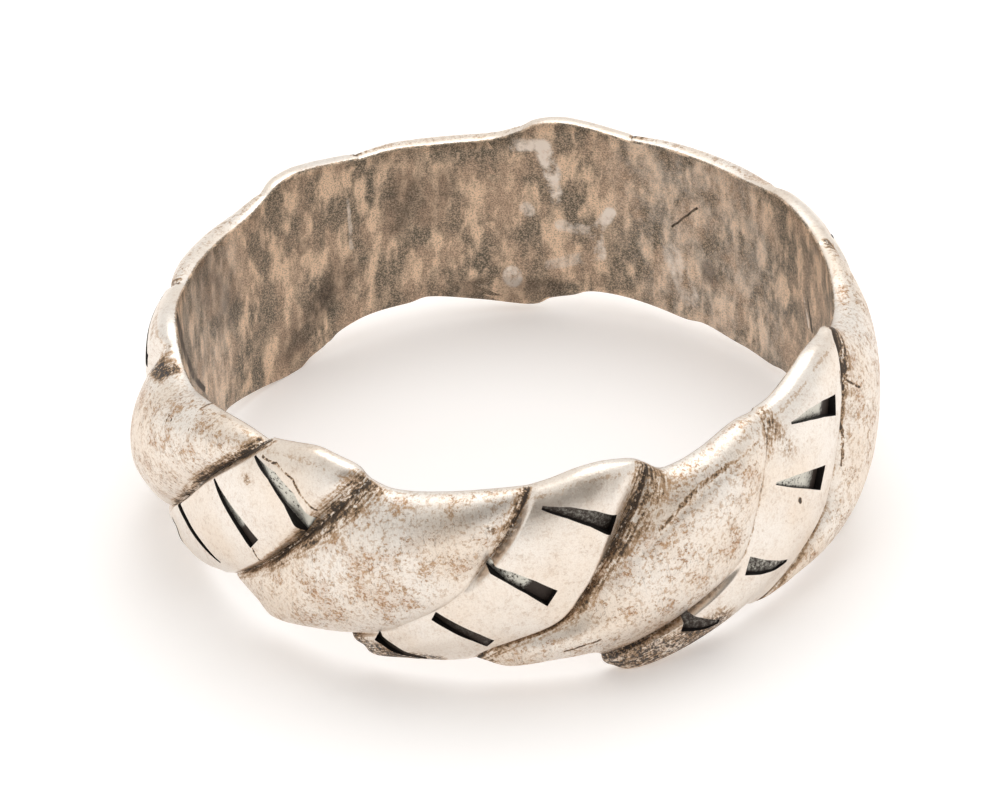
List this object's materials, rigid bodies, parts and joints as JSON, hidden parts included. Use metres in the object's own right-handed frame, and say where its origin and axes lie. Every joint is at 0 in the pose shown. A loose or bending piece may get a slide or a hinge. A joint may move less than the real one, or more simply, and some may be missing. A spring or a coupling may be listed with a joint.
{
  "type": "carved silver band ring",
  "caption": "Finger ring: one cast and carved silver band, a twist of leaning smooth and notched strands with wavy rims and a plain round finger hole.",
  "frame": {"origin": "the middle of the finger hole, half way up the band", "axes": "+Z along the finger, up when the ring lies on its side; -Y is the side that faces the camera in the picture, +X its right"},
  "size_m": [0.0208, 0.0204, 0.007],
  "materials": {
    "silver": "worn satin silver, tarnished brown in the grooves and inside"
  },
  "bodies": {
    "root": {"band": "silver"}
  },
  "joints": []
}
